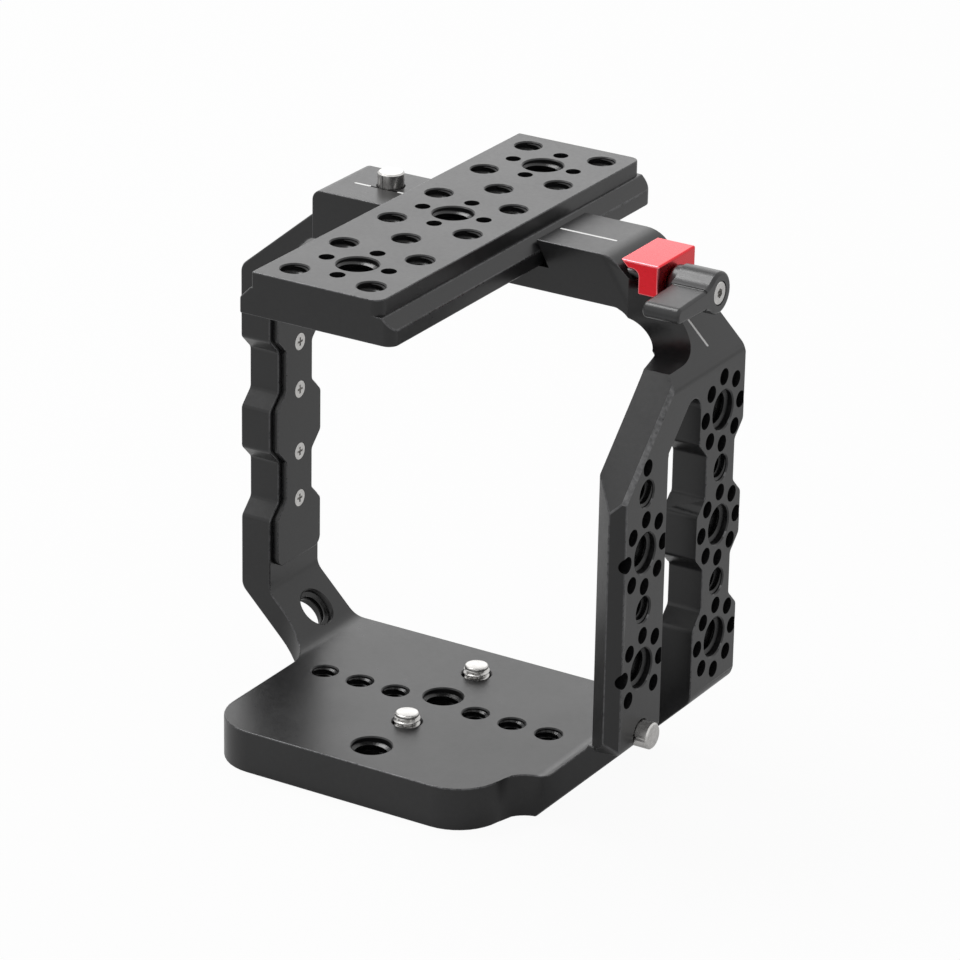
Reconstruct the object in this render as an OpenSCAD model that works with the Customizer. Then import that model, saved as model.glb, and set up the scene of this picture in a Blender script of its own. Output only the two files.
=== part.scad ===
// Camera cage: a one-piece machined ring with a drilled side plate, a dovetailed
// top plate, a clamp jaw with a thumb lever and two captive camera screws.
// Origin: underside of the base plate, on the axis of its centre hole.
// +X is the side with the drilled plate, -Y is the front, +Z is up.

/* [Base plate] */
// Thickness of the base plate
base_t = 10.6; // [9:0.1:14]
// Centre hole to the left edge of the base
base_left = 40.2; // [36:0.1:44]
// Centre hole to the front edge of the base
base_front = 41.5; // [38:0.1:50]
// Centre hole to the rear faces of the whole frame
frame_rear = 27.5; // [26:0.1:29]
// Radius of the base plate's front corners
base_corner_r = 12; // [4:0.5:14]
// Centre hole to the right side of the base plate's nose
nose_right = 34.3; // [30:0.1:36]
// Radius of the inside curve between the nose and the right leg
nose_neck_r = 7.1; // [3:0.1:7.5]
// Radius of the inside curve between the base's left edge and the left strut
strut_fillet_r = 10; // [4:0.5:12]

/* [Camera bay] */
// Half of the clear width between the upright arms
bay_half = 53.5; // [50:0.1:58]
// Height of the clear space above the base plate
bay_h = 105.3; // [102:0.1:112]
// Half of the distance between the feet of the 45 degree struts
foot_half = 42.3; // [41.2:0.1:44]
// Thickness of the struts, square to their faces
strut_t = 5.8; // [5.2:0.1:7]
// Drop of the 45 degree shoulders below the crossbar
shoulder_drop = 11.5; // [10:0.1:13]
// Thickness of the shoulders, square to their faces
shoulder_t = 6.5; // [6:0.1:7.6]

/* [Uprights and crossbar] */
// Thickness of the left arm
arm_t = 8.2; // [7.5:0.1:10]
// Thickness of the right side plate
side_t = 9; // [8:0.1:11]
// Height of the crossbar's section
bar_t = 12.1; // [11:0.1:14]
// Left end of the crossbar's raised top, from the start of the shoulder
bar_left_in = 0.7; // [-0.5:0.1:1.6]
// Front face of the crossbar, behind the centre hole
bar_front = 5.6; // [5:0.1:6.4]
// Front face of the left arm, behind the centre hole
arm_front = 6.2; // [5.6:0.1:7]
// Front face of the right leg's strut, ahead of the centre hole
leg_front = 23.8; // [22:0.1:25]
// Front ridge of the right post, ahead of the centre hole
post_front = 28.7; // [27.5:0.1:31]
// Rise of the sloping front edge's top end over the crossbar's underside
slope_rise = 0.6; // [-1.3:0.1:1.7]
// Depth of the scallops in the uprights
scallop_depth = 3.8; // [2:0.1:4.2]
// Length of a scallop, between the middles of its slopes
scallop_len = 14.1; // [11:0.1:16]

/* [Hole patterns] */
// Major diameter of the large accessory thread
big_d = 9.525; // [9.2:0.005:9.6]
// Major diameter of the small accessory thread
small_d = 6.35; // [6:0.01:6.6]
// Distance from one rosette to the next
rosette_pitch = 28.35; // [27:0.05:29]
// Radius of the ring of pin holes round a large thread
pin_ring_r = 8.15; // [7.8:0.05:8.4]
// Diameter of the side plate's pin holes
side_pin_d = 4; // [3:0.1:4.2]
// Depth of the side plate's pin holes
side_pin_depth = 4.4; // [3:0.1:4.6]
// Diameter of the top plate's pin holes
top_pin_d = 3.6; // [3:0.1:4]
// Height of the middle rear rosette above the middle of the upright arms
rosette_rise = 0.55; // [-0.5:0.05:1.5]
// Drop of the lower front rosette from the middle rear one
front_rosette_drop = 22.85; // [22:0.05:24]
// Rear column of holes, behind the centre hole
rear_col_y = 17.6; // [17:0.1:18]
// Front column of holes, ahead of the centre hole
front_col_y = 16.8; // [16:0.1:17.5]

/* [Side window] */
// Front edge of the window, ahead of the centre hole
window_front = 7.6; // [6:0.1:9]
// Rear edge of the window, behind the centre hole
window_rear = 7; // [6.4:0.1:7.2]
// Width of the wall between the window and the sloping front edge
slope_wall = 9.8; // [8:0.1:12]

/* [Top plate] */
// Length of the top plate
plate_len = 114; // [108:0.2:130]
// Middle of the top plate and its groove, right of the centre hole
plate_x = 0.65; // [0:0.05:1]
// Width of the top plate's raised block
plate_w = 33.5; // [32:0.1:34.1]
// Height of the raised block above the crossbar
plate_rise = 4.2; // [3:0.1:6]
// Width across the top plate's dovetail flange
flange_w = 39.9; // [39.9:0.1:41.5]
// Depth of the dovetail groove in the crossbar
groove_depth = 6.2; // [5.5:0.1:6.8]
// Distance between the rows of small holes
grid_pitch = 20; // [18:0.5:21]

/* [Camera screws] */
// Front camera screw, ahead of the centre hole
front_screw_y = 16.1; // [15:0.1:17]
// Rear camera screw, behind the centre hole
rear_screw_y = 15.1; // [14:0.1:16]
// Travel of a camera screw from its ring to the web
screw_travel = 3; // [2:0.1:3.4]
// Height of a lowered screw's tip above the base plate
screw_tip = 2.45; // [1.5:0.05:3]

/* [Clamp] */
// Lever axis, behind the centre hole
lever_y = 12.7; // [12:0.1:13.5]
// Lever axis below the crossbar's top
lever_drop = 6; // [5.4:0.1:6.4]
// Distance from the lever's axis to its tip
lever_reach = 19.4; // [17:0.1:20]
// Distance from the jaw's outer face to the lever's end face
lever_len = 11.9; // [11.7:0.1:13]
// Outer face of the clamp jaw, from the start of the shoulder
jaw_reach = 9.3; // [8.8:0.1:9.6]
// Jaw travel as it closes over half a turn of the lever
jaw_travel = 0.35; // [0.3:0.05:0.6]

/* [Hidden] */

// Facets of round holes and pins, and the turn of one step on a rounded corner
$fn = 48;
arc_step = 9;
// Overrun of every cut, and the clearance of parts that seat on each other
over = 1;
seat_gap = 0.03;

// Derived places, all measured above the base plate's top face
knee_z = bay_half - foot_half;
strut_run = strut_t * sqrt(2);
shoulder_run = shoulder_t * sqrt(2);
shoulder_z = bay_h - shoulder_drop;
bar_top = bay_h + bar_t;
knee_x = bay_half - shoulder_drop;
bar_left = knee_x - bar_left_in;
slope_top = bay_h + slope_rise;
rear_rosette_z = (knee_z + shoulder_z) / 2 + rosette_rise;
front_rosette_z = rear_rosette_z - front_rosette_drop;
lever_z = bar_top - lever_drop;
jaw_out = knee_x + jaw_reach;
shoulder_sum = bay_half + shoulder_z + shoulder_run;
arm_out = bay_half + arm_t;
side_out = bay_half + side_t;
strut_out = foot_half + strut_run;
slope_off = slope_top - bar_front;

// The left shoulder's outer face is flatter than 45 degrees: its drop at both ends
left_shoulder_drop = 3.8;
left_edge_drop = 0.5;

// Rounding radii of the ring, seen from the front
foot_r = 6;
bay_corner_r = 4;
bar_corner_in_r = 5;
outer_corner_r = 3.5;
bar_end_r = 8;
bar_corner_r = 2.5;
scallop_r = 1.6;

// Front post: width of its outer bevel, and of the bright bevel along the slope
post_bevel = 2.9;
post_flare = 2.3;
post_flare_len = 9.5;
post_flare_r = 1.5;
post_bend_r = 8;
slope_bevel = 1;
window_foot = 1.5;
window_r = 3.4;
window_corner_r = 2;

// Finger scoop beside the lever: a round-ended pocket with a rolled bottom edge
scoop_in_wall = 1.5;
scoop_x = bay_half + scoop_in_wall;
scoop_y = 0.2;
scoop_r = 12.6;
scoop_edge_r = 8.4;
scoop_depth = 20.9;
scoop_floor = bar_top - scoop_depth;

// Chamfers at the mouths of the threads
mouth = 0.3;

// A unit vector, and a corner rounded to radius r on the way from a over b to c
function unit(v) = v / norm(v);
function rounded_corner(a, b, c, r) =
  r <= 0 ? [b] :
  let (
    u = unit(a - b),
    w = unit(c - b),
    half = acos(u * w) / 2,
    middle = b + r / sin(half) * unit(u + w),
    start = b + r / tan(half) * u - middle,
    finish = b + r / tan(half) * w - middle,
    from = atan2(start.y, start.x),
    turn = (atan2(finish.y, finish.x) - from + 540) % 360 - 180,
    steps = max(1, ceil(abs(turn) / arc_step))
  )
  [for (i = [0:steps]) middle + r * [cos(from + turn * i / steps), sin(from + turn * i / steps)]];

// An outline from points [x, y, corner radius]
function xy(p) = [p.x, p.y];
function outline(points) =
  let (n = len(points))
  [for (i = [0:n - 1])
    each rounded_corner(xy(points[(i + n - 1) % n]), xy(points[i]),
      xy(points[(i + 1) % n]), points[i].z)];

// Four points of a scallop cut into an upright's face, going up or down it
function scallop(face, cut, z, dir) =
  let (m = scallop_len / 2, d = abs(cut) / 2)
  [[face, z - dir * (m + d), scallop_r],
   [face + cut, z - dir * (m - d), scallop_r],
   [face + cut, z + dir * (m - d), scallop_r],
   [face, z + dir * (m + d), scallop_r]];

module on_base() { translate([0, 0, base_t]) children(); }

// Extrusions along Y, X and Z of outlines drawn as (x, z), (y, z) and (x, y)
module along_y(y0, y1) {
  translate([0, y1, 0]) rotate([90, 0, 0]) linear_extrude(y1 - y0) children();
}
module along_x(x0, x1) {
  translate([x0, 0, 0]) rotate([90, 0, 90]) linear_extrude(x1 - x0) children();
}
module along_z(z0, z1) { translate([0, 0, z0]) linear_extrude(z1 - z0) children(); }

// A round hole along +Z from z = 0 down, with a chamfered mouth at the top
module hole(d, depth, rim = mouth) {
  translate([0, 0, -depth]) cylinder(d = d, h = depth + over);
  if (rim > 0) {
    translate([0, 0, -rim]) cylinder(r1 = d / 2, r2 = d / 2 + rim, h = rim);
    translate([0, 0, 0]) cylinder(r = d / 2 + rim, h = over);
  }
}

// The ring seen from the front
function ring_outer() = [
  [-strut_out + base_t, -base_t, 0],
  [strut_out - base_t, -base_t, 0],
  [side_out, side_out - strut_out, outer_corner_r],
  [side_out, shoulder_sum - side_out, outer_corner_r],
  [shoulder_sum - bar_top, bar_top, bar_end_r],
  [-bar_left, bar_top, bar_corner_r],
  [-bar_left, shoulder_sum - bar_left - left_shoulder_drop, 0],
  [-arm_out, shoulder_sum - arm_out - left_edge_drop, outer_corner_r],
  [-arm_out, arm_out - strut_out, outer_corner_r]];
function ring_inner() = [
  [-foot_half, 0, foot_r],
  [foot_half, 0, foot_r],
  [bay_half, knee_z, bay_corner_r],
  [bay_half, shoulder_z, bay_corner_r],
  [knee_x, bay_h, bar_corner_in_r],
  [-knee_x, bay_h, bar_corner_in_r],
  [-bay_half, shoulder_z, bay_corner_r],
  [-bay_half, knee_z, bay_corner_r]];

// The base plate and the feet of the struts, seen from above
function base_plan() = [
  [-base_left, -base_front, base_corner_r],
  [nose_right, -base_front, base_corner_r],
  [nose_right, -leg_front, nose_neck_r],
  [side_out + over, -leg_front, 0],
  [side_out + over, frame_rear, 0],
  [-arm_out - over, frame_rear, 0],
  [-arm_out - over, arm_front, 0],
  [-base_left, arm_front, strut_fillet_r]];

// Heights of the scallops, which lie between the rear rosettes
scallop_z = [rear_rosette_z - rosette_pitch / 2, rear_rosette_z + rosette_pitch / 2];

// The left arm and shoulder, seen from the right
function arm_side() = concat(
  [[frame_rear, 0, 0]],
  scallop(frame_rear, -scallop_depth, scallop_z[0], 1),
  scallop(frame_rear, -scallop_depth, scallop_z[1], 1),
  [[frame_rear, bar_top + over, 0], [arm_front, bar_top + over, 0]],
  scallop(arm_front, scallop_depth, scallop_z[1], -1),
  scallop(arm_front, scallop_depth, scallop_z[0], -1),
  [[arm_front, 0, 0]]);

// The right side plate and shoulder, seen from the right
function plate_side() = concat(
  [[frame_rear, 0, 0]],
  scallop(frame_rear, -scallop_depth, scallop_z[0], 1),
  scallop(frame_rear, -scallop_depth, scallop_z[1], 1),
  [[frame_rear, bar_top + over, 0],
   [bar_front, bar_top + over, 0],
   [bar_front, slope_top, 0],
   [-post_front, slope_off - post_front, 0],
   [-post_front, knee_z - seat_step + post_front - leg_front, 0],
   [-leg_front, knee_z - seat_step, 0],
   [-leg_front, 0, 0]]);
// The post's overhang starts this far below the knee
seat_step = 0.9;

// The front of the right post, seen from above
function post_plan() = [
  [side_out - post_bevel, -post_front, 0],
  [side_out + over, post_bevel - post_front + over, 0],
  [side_out + over, frame_rear + over, 0],
  [bar_left - over, frame_rear + over, 0],
  [bar_left - over, bar_front, 0],
  [bay_half - post_flare, bar_front, post_flare_r],
  [bay_half, bar_front - post_flare_len, post_bend_r],
  [bay_half, side_out - post_bevel - post_front - bay_half, 0]];

// The window in the side plate, seen from the right
window_off = slope_off - slope_wall * sqrt(2);
function window_side() = concat(
  [[window_rear, window_off + window_rear, window_r],
   [-window_front, window_off - window_front, window_corner_r],
   [-window_front, window_foot, window_corner_r],
   [window_rear, window_foot, window_corner_r]],
  scallop(window_rear, scallop_depth, scallop_z[0], 1),
  scallop(window_rear, scallop_depth, scallop_z[1], 1));

// Dovetail groove across the crossbar, seen from the front. Its flanks pass the
// shoulders of the plate's flange, 30 degrees from upright
groove_z = bar_top - groove_depth;
groove_gap = 0.1;
groove_lip = 0.2;
flange_bevel = 2.85;
block_gap = 0.45;
flank_slope = tan(30);
shoulder_half = flange_w / 2 + groove_gap;
shoulder_at = bar_top + block_gap - flange_bevel;
function flank_half(z) = shoulder_half + (shoulder_at - z) * flank_slope;
groove_top_half = flank_half(bar_top - groove_lip) + groove_lip;
function groove_half() = [
  [flank_half(groove_z), groove_z],
  [flank_half(bar_top - groove_lip), bar_top - groove_lip],
  [groove_top_half, bar_top],
  [groove_top_half, bar_top + over]];
module groove_section() {
  right = groove_half();
  translate([plate_x, 0]) polygon(concat(right, [for (i = [3:-1:0]) [-right[i].x, right[i].y]]));
}

// A large thread with its ring of pin holes, along +X from x = 0 inwards
module rosette(depth, angles) {
  rotate([0, 90, 0]) hole(big_d, depth);
  for (a = angles)
    translate([0, pin_ring_r * cos(a), pin_ring_r * sin(a)])
      rotate([0, 90, 0]) hole(side_pin_d, side_pin_depth, 0);
}
all_round = [0:45:315];
all_but_lowest = [for (a = all_round) if (a != 270) a];

// Pin hole above the upper small thread of the front column
lone_pin_rise = 6.25;

module side_plate_holes() {
  depth = side_t + over;
  translate([side_out, rear_col_y, 0]) {
    for (i = [-1:1]) translate([0, 0, rear_rosette_z + i * rosette_pitch]) rosette(depth, all_round);
    for (z = scallop_z) translate([0, 0, z]) rotate([0, 90, 0]) hole(small_d, depth);
  }
  translate([side_out, -front_col_y, front_rosette_z]) {
    rosette(depth, all_but_lowest);
    translate([0, 0, rosette_pitch]) rosette(depth, all_round);
    for (i = [0.5, 1.5])
      translate([0, 0, (i + small_shift_share) * rosette_pitch]) rotate([0, 90, 0]) hole(small_d, depth);
    translate([0, 0, (1.5 + small_shift_share) * rosette_pitch + lone_pin_rise])
      rotate([0, 90, 0]) hole(side_pin_d, side_pin_depth, 0);
  }
}
// The front column's small threads sit a little above the middle of the pitch
small_shift_share = 0.008;

// Row of small threads on the base, first hole and spacing, ahead of the centre
row_start = 11.15;
row_pitch = 10;
row_y = 3.6;
// Large thread near the front edge
front_hole_y = 31.5;
module base_holes() {
  hole(big_d, base_t + over);
  translate([0, -front_hole_y, 0]) {
    hole(big_d, base_t + over);
    translate([0, 0, -base_t]) mirror([0, 0, 1]) hole(big_d, mouth);
  }
  for (s = [-1, 1], i = [0:2])
    translate([s * (row_start + i * row_pitch), -row_y, 0]) {
      hole(small_d, base_t + over);
      translate([0, 0, -base_t]) mirror([0, 0, 1]) hole(small_d, mouth);
    }
}

// Strut hole: a large thread square to the left strut
strut_hole_y = 17.4;
strut_hole_z = 4.9;
module strut_hole() {
  translate([-foot_half - strut_hole_z, strut_hole_y, strut_hole_z])
    rotate([0, 45, 0]) {
      hole(big_d, strut_t + over);
    }
}

// Camera screw: head, web above it, washer and ring
screw_head_d = 11;
screw_head_h = 2.6;
screw_ring_h = 0.9;
screw_ring_land = 0.5;
screw_ring_wire = 1.1;
screw_bore_d = 12.4;
washer_h = 0.5;
washer_d = 10.4;
web_hole_d = 7;
screw_play = 0.05;
ring_z = -base_t + screw_ring_land;
head_z = ring_z + screw_ring_h + screw_play;
web_z = head_z + screw_head_h + washer_h + screw_travel + screw_play;
module screw_bore(y) {
  translate([0, y, 0]) {
    hole(web_hole_d, base_t + over, mouth);
    translate([0, 0, -base_t - over]) cylinder(d = screw_bore_d, h = web_z + base_t + over);
    translate([0, 0, ring_z]) cylinder(d = screw_bore_d + screw_ring_wire, h = screw_ring_h);
  }
}

// Fluted studs
stud_d = 6.3;
stud_top_rise = 3.6;
stud_side_rise = 3.3;
stud_depth = 6;
stud_hole_d = 6.9;
stud_rim = 0.6;
stud_from_groove = 9.1;
top_stud_x = groove_top_half - plate_x + stud_from_groove;
top_stud_y = 18;
side_stud_y = 16.2;
side_stud_z = 13.8;

// Film plane marks: white filled grooves
mark_y = 15;
mark_w = 0.5;
mark_depth = 0.2;
mark_left_reach = 17.2;
mark_left = groove_top_half - plate_x + mark_left_reach;
mark_right_reach = 15.5;
mark_right = groove_top_half + plate_x + mark_right_reach;
mark_side_in = 0.5;
mark_side_from = bay_half - mark_side_in;
mark_side_run = 6.4;
mark_side_to = mark_side_from + mark_side_run;
module mark_bars(grow) {
  w = mark_w + 2 * grow;
  translate([-mark_left - grow, mark_y - w / 2, bar_top - mark_depth - grow])
    cube([mark_left + plate_x - groove_top_half - mark_w + 2 * grow, w, mark_depth + grow]);
  translate([plate_x + groove_top_half + mark_w - grow, mark_y - w / 2, bar_top - mark_depth - grow])
    cube([mark_right - plate_x - groove_top_half - mark_w + 2 * grow, w, mark_depth + grow]);
  translate([mark_side_from, mark_y, shoulder_sum - mark_side_from]) rotate([0, 45, 0])
    translate([-grow, -w / 2, -mark_depth - grow])
      cube([(mark_side_to - mark_side_from) * sqrt(2) + 2 * grow, w, mark_depth + grow]);
}

// Clamp: stud, guide pins and the jaw's section
clamp_stud_d = 4;
clamp_stud_in = 21.3;
clamp_stud_from = jaw_out - clamp_stud_in;
clamp_stud_out = 3.6;
clamp_stud_to = jaw_out + clamp_stud_out;
guide_d = 2;
guide_rise = 2.1;
guide_z = lever_z + guide_rise;
guide_in = 14.3;
guide_from = jaw_out - guide_in;
guide_in_jaw = 3.2;
guide_before = 4.5;
guide_behind = 6.7;
guide_y = [lever_y - guide_before, lever_y + guide_behind];
jaw_before_lever = 7.3;
jaw_behind_lever = 9.8;
jaw_front = lever_y - jaw_before_lever;
jaw_rear = lever_y + jaw_behind_lever;
jaw_len = 10;
jaw_tip = jaw_out - jaw_len;
jaw_leg_t = 5.3;
jaw_leg = jaw_out - jaw_leg_t;
jaw_h = 7.7;
jaw_bottom = bar_top - jaw_h;
jaw_lip = 2;
jaw_slot_w = 4.6;
jaw_gap = 0.4;
module clamp_cuts() {
  translate([clamp_stud_from, lever_y, lever_z]) rotate([0, 90, 0])
    cylinder(d = clamp_stud_d + 2 * seat_gap, h = jaw_out - clamp_stud_from);
  for (y = guide_y) translate([guide_from, y, guide_z]) rotate([0, 90, 0])
    cylinder(d = guide_d + 2 * seat_gap, h = jaw_out - guide_from);
  translate([jaw_leg - jaw_travel - jaw_gap, jaw_front - over, jaw_bottom - jaw_gap])
    cube([side_out, jaw_rear - jaw_front + over + jaw_gap, bar_top]);
}

// Four countersunk screws hold the cover on the left arm
cover_t = 1.5;
cover_inset = 1.35;
cover_above_knee = 6.35;
cover_below_shoulder = 5.25;
cover_low = knee_z + cover_above_knee;
cover_high = shoulder_z - cover_below_shoulder;
cover_r = 2.4;
cover_screw_y = 17.1;
cover_screw_z = [8.05, 20.3];
cover_head_d = 4.3;
cover_screw_d = 2.5;
cover_screw_len = 5.5;
module at_cover_screws() {
  for (s = [-1, 1], z = cover_screw_z)
    translate([-bay_half + cover_t, cover_screw_y, rear_rosette_z + s * z]) rotate([0, 90, 0]) children();
}

// Lock screws under the top plate
lock_x = 13;
lock_y = 16.5;
lock_d = 5;

module scoop_section() {
  flat = scoop_r - scoop_edge_r;
  height = bar_top + over - scoop_floor;
  square([flat, height]);
  translate([0, scoop_edge_r]) square([scoop_r, height - scoop_edge_r]);
  translate([flat, scoop_edge_r]) circle(scoop_edge_r);
}
module scoop() {
  translate([scoop_x, scoop_y, scoop_floor]) rotate_extrude() intersection() {
    scoop_section();
    square([scoop_r, bar_top]);
  }
  translate([scoop_x, 0, scoop_floor]) along_y(-post_front - over, scoop_y)
    for (side = [0, 1]) mirror([side, 0]) scoop_section();
}

module slope_bevel_cut() {
  translate([side_out, bar_front, slope_top]) rotate([45, 0, 0]) rotate([0, 45, 0])
    translate([-slope_bevel / sqrt(2), -side_out * 2, -slope_bevel / sqrt(2)])
      cube([slope_bevel * sqrt(2), side_out * 4, slope_bevel * sqrt(2)]);
}

module cage_frame() {
  color("dimgray") on_base() difference() {
    intersection() {
      along_y(-base_front - over, frame_rear + over) difference() {
        polygon(outline(ring_outer()));
        polygon(outline(ring_inner()));
      }
      union() {
        along_z(-base_t - over, knee_z) polygon(outline(base_plan()));
        along_x(-arm_out - over, -bar_left) polygon(outline(arm_side()));
        translate([-bar_left, bar_front, bay_h - over])
          cube([bar_left * 2, frame_rear - bar_front, bar_t + 2 * over]);
        intersection() {
          along_x(bar_left, side_out + over) polygon(outline(plate_side()));
          along_z(-over, bar_top + over) polygon(outline(post_plan()));
        }
      }
    }
    along_x(foot_half - over, side_out + over) polygon(outline(window_side()));
    along_y(bar_front - over, frame_rear + over) groove_section();
    slope_bevel_cut();
    scoop();
    side_plate_holes();
    base_holes();
    strut_hole();
    screw_bore(-front_screw_y);
    screw_bore(rear_screw_y);
    translate([-top_stud_x, top_stud_y, bar_top]) hole(stud_hole_d, stud_rim, 0);
    translate([-top_stud_x, top_stud_y, bar_top]) hole(stud_d + 2 * seat_gap, stud_depth, 0);
    translate([side_out, -side_stud_y, side_stud_z]) rotate([0, 90, 0]) {
      hole(stud_hole_d, stud_rim, 0);
      hole(stud_d + 2 * seat_gap, stud_depth, 0);
    }
    mark_bars(seat_gap);
    clamp_cuts();
    at_cover_screws() translate([0, 0, -cover_screw_len - over])
      cylinder(d = cover_screw_d + 2 * seat_gap, h = cover_screw_len + over);
    for (s = [-1, 1]) translate([plate_x + s * lock_x, lock_y, bay_h - over])
      cylinder(d = lock_d + 2 * seat_gap, h = bar_t);
  }
}

// Top plate: a block over a bevelled flange that slides in the crossbar's groove.
// Its right corners are rounded, its left ones nearly sharp
plate_corner_r = 2.6;
plate_left_r = 0.5;
plate_lift = 0.1;
large_hole_pitch = grid_pitch * 2;
small_edge = 6.5;
large_edge = 12;
row_pairs = floor((plate_len / 2 - small_edge) / grid_pitch + 1 / 2);
large_each_way = floor((plate_len / 2 - large_edge) / large_hole_pitch);
module plate_plan(w) {
  h = plate_len / 2;
  polygon(outline([for (p = [[-1, -1], [1, -1], [1, 1], [-1, 1]])
    [p.x * w / 2, p.y * h, p.x > 0 ? plate_corner_r : plate_left_r]]));
}
module top_plate() {
  flange_z = groove_z + plate_lift;
  block_z = bar_top + block_gap;
  half = flange_w / 2;
  color("dimgray") on_base() translate([plate_x, 0, 0]) difference() {
    union() {
      along_z(shoulder_at, bar_top + plate_rise) plate_plan(plate_w);
      intersection() {
        along_z(flange_z, block_z) plate_plan(flange_w);
        along_y(-plate_len, plate_len) polygon([
          [-half, flange_z],
          [half, flange_z],
          [half, shoulder_at],
          [half - flange_bevel, block_z],
          [flange_bevel - half, block_z],
          [-half, shoulder_at]]);
      }
    }
    translate([0, 0, bar_top + plate_rise]) {
      depth = plate_rise + groove_depth + over;
      for (i = [-large_each_way:large_each_way]) translate([0, i * large_hole_pitch, 0]) {
        hole(big_d, depth);
        for (a = [0:90:270]) rotate(a) translate([pin_ring_r, 0, 0]) hole(top_pin_d, depth, 0);
      }
      for (s = [-1, 1]) {
        translate([0, s * grid_pitch, 0]) hole(small_d, depth);
        for (i = [1 / 2 - row_pairs:row_pairs - 1 / 2])
          translate([s * grid_pitch / 2, i * grid_pitch, 0]) hole(small_d, depth);
      }
    }
  }
}

// Set screws in the crossbar that jam the plate's flange up in the dovetail
lock_len = 5.2;
lock_socket_d = 2.9;
lock_socket = 2.4;
module plate_lock_screws() {
  color("gray") on_base() for (s = [-1, 1])
    translate([plate_x + s * lock_x, lock_y, groove_z + plate_lift - seat_gap - lock_len]) difference() {
      cylinder(d = lock_d, h = lock_len);
      translate([0, 0, -over]) cylinder(d = lock_socket_d, h = lock_socket + over, $fn = 6);
    }
}

// Thin cover on the left arm's inner face, following the arm's scallops
function cover_side() = concat(
  [[frame_rear - cover_inset, cover_low, cover_r]],
  scallop(frame_rear - cover_inset, -scallop_depth, scallop_z[0], 1),
  scallop(frame_rear - cover_inset, -scallop_depth, scallop_z[1], 1),
  [[frame_rear - cover_inset, cover_high, cover_r],
   [arm_front + cover_inset, cover_high, cover_r]],
  scallop(arm_front + cover_inset, scallop_depth, scallop_z[1], -1),
  scallop(arm_front + cover_inset, scallop_depth, scallop_z[0], -1),
  [[arm_front + cover_inset, cover_low, cover_r]]);
module arm_cover() {
  color("slategray") on_base() difference() {
    along_x(-bay_half, -bay_half + cover_t) polygon(outline(cover_side()));
    at_cover_screws() {
      translate([0, 0, -cover_t - over]) cylinder(d = cover_screw_d + 2 * seat_gap, h = cover_t + 2 * over);
      translate([0, 0, -countersink]) cylinder(d1 = cover_screw_d + 4 * seat_gap,
        d2 = cover_head_d + 4 * seat_gap, h = countersink);
    }
  }
}
countersink = (cover_head_d - cover_screw_d) / 2;

// Countersunk screws with a cross recess
recess_w = 0.55;
recess_len = 2.2;
recess_depth = 0.6;
module arm_cover_screws() {
  color("silver") on_base() at_cover_screws() difference() {
    union() {
      translate([0, 0, -cover_screw_len]) cylinder(d = cover_screw_d, h = cover_screw_len);
      translate([0, 0, -countersink - seat_gap])
        cylinder(d1 = cover_screw_d, d2 = cover_head_d, h = countersink);
    }
    for (a = [0, 90]) rotate(a)
      translate([-recess_len / 2, -recess_w / 2, -recess_depth])
        cube([recess_len, recess_w, recess_depth + over]);
    translate([0, 0, -seat_gap]) cylinder(d = cover_head_d, h = over);
  }
}

// Fluted stainless stud: a pin with rounded grooves and a flat end
flute_count = 8;
flute_d = 1.2;
flute_in = 0.25;
stud_bevel = 0.35;
module fluted_stud(rise) {
  difference() {
    union() {
      translate([0, 0, -stud_depth + seat_gap]) cylinder(d = stud_d, h = stud_depth + rise - stud_bevel - seat_gap);
      translate([0, 0, rise - stud_bevel])
        cylinder(d1 = stud_d, d2 = stud_d - 2 * stud_bevel, h = stud_bevel);
    }
    for (i = [0:flute_count - 1]) rotate(i * 360 / flute_count)
      translate([stud_d / 2 + flute_d / 2 - flute_in, 0, -stud_rim])
        cylinder(d = flute_d, h = stud_rim + rise - stud_bevel, $fn = 20);
  }
}
module top_stud() {
  color("silver") on_base() translate([-top_stud_x, top_stud_y, bar_top]) fluted_stud(stud_top_rise);
}
module side_stud() {
  color("silver") on_base() translate([side_out, -side_stud_y, side_stud_z])
    rotate([0, 90, 0]) fluted_stud(stud_side_rise);
}

module film_plane_marks() {
  color("white") on_base() difference() {
    mark_bars(0);
    translate([-top_stud_x, top_stud_y, bar_top]) hole(stud_hole_d + 2 * seat_gap, stud_rim, 0);
  }
}

module clamp_stud() {
  color("silver") on_base() translate([clamp_stud_from + seat_gap, lever_y, lever_z])
    rotate([0, 90, 0]) cylinder(d = clamp_stud_d, h = clamp_stud_to - clamp_stud_from - seat_gap);
}

module jaw_guide_pins() {
  color("silver") on_base() for (y = guide_y)
    translate([guide_from + seat_gap, y, guide_z]) rotate([0, 90, 0])
      cylinder(d = guide_d, h = jaw_leg + guide_in_jaw - jaw_travel - guide_from - slide_gap - 2 * seat_gap);
}

// Clamp jaw: a lip over the crossbar's end and a leg down to the lever's axis
lip_bevel = 2.1;
jaw_curve_r = 1.5;
jaw_edge_r = 0.5;
function jaw_section() = [
  [jaw_tip, bar_top, 0],
  [jaw_tip + lip_bevel, bar_top - jaw_lip, 0],
  [jaw_leg, bar_top - jaw_lip, jaw_curve_r],
  [jaw_leg, jaw_bottom, jaw_edge_r],
  [jaw_out, jaw_bottom, jaw_edge_r],
  [jaw_out, bar_top, jaw_edge_r]];
module clamp_jaw() {
  color("crimson") on_base() difference() {
    along_y(jaw_front, jaw_rear) polygon(outline(jaw_section()));
    translate([jaw_tip, lever_y, lever_z]) rotate([0, 90, 0])
      cylinder(d = jaw_slot_w, h = jaw_out);
    translate([jaw_tip, lever_y - jaw_slot_w / 2, jaw_bottom - over])
      cube([jaw_out, jaw_slot_w, lever_z - jaw_bottom + over]);
    for (y = guide_y) translate([jaw_leg - over, y, guide_z]) rotate([0, 90, 0])
      cylinder(d = guide_d + 2 * slide_gap, h = guide_in_jaw + over);
  }
}
slide_gap = 0.06;

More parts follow.
